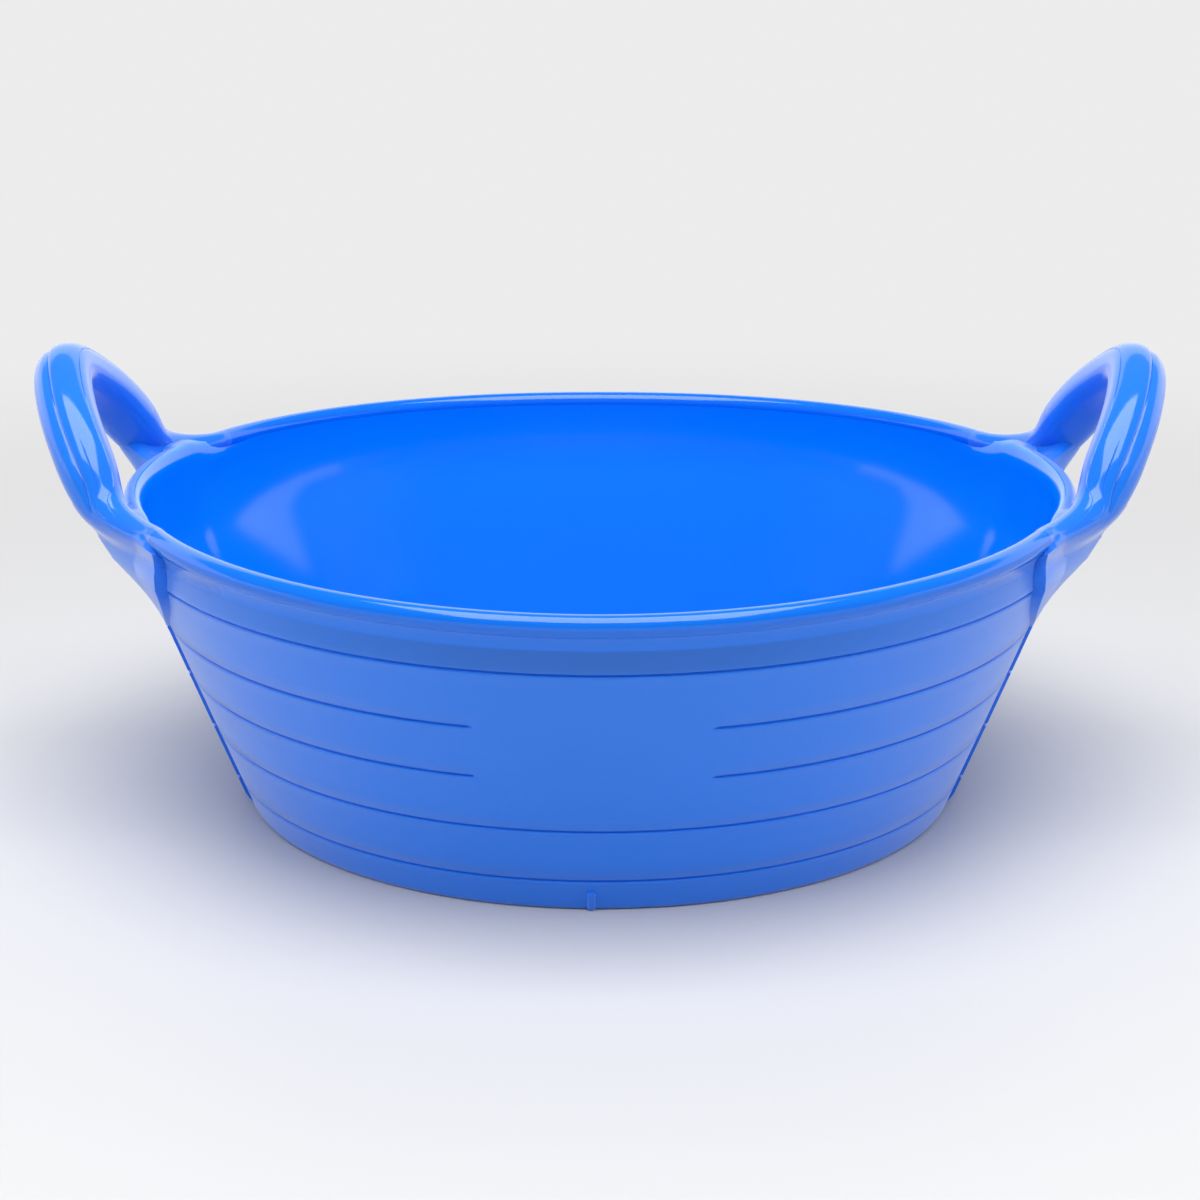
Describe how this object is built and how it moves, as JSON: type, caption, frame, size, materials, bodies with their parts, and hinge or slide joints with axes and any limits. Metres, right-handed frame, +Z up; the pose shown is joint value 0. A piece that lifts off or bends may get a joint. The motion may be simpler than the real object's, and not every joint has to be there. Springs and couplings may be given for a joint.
{
  "type": "feed tub",
  "caption": "Shallow round flexible plastic feed tub with sloping walls, a beaded rim, fill lines and a moulded loop handle on each side.",
  "frame": {"origin": "centre of the base, on the ground plane that the foot ring stands on", "axes": "+Z up; the two handles lie on +X and -X; the front of the tub, with the plain panel between the fill lines, faces -Y"},
  "size_m": [0.5092, 0.4286, 0.2055],
  "materials": {
    "blue_plastic": "glossy low-density polyethylene, lightly scuffed"
  },
  "bodies": {
    "root": {"tub_shell": "blue_plastic", "rim_front": "blue_plastic", "rim_rear": "blue_plastic", "grip_left": "blue_plastic", "grip_right": "blue_plastic", "web_left": "blue_plastic", "web_right": "blue_plastic"}
  },
  "joints": []
}
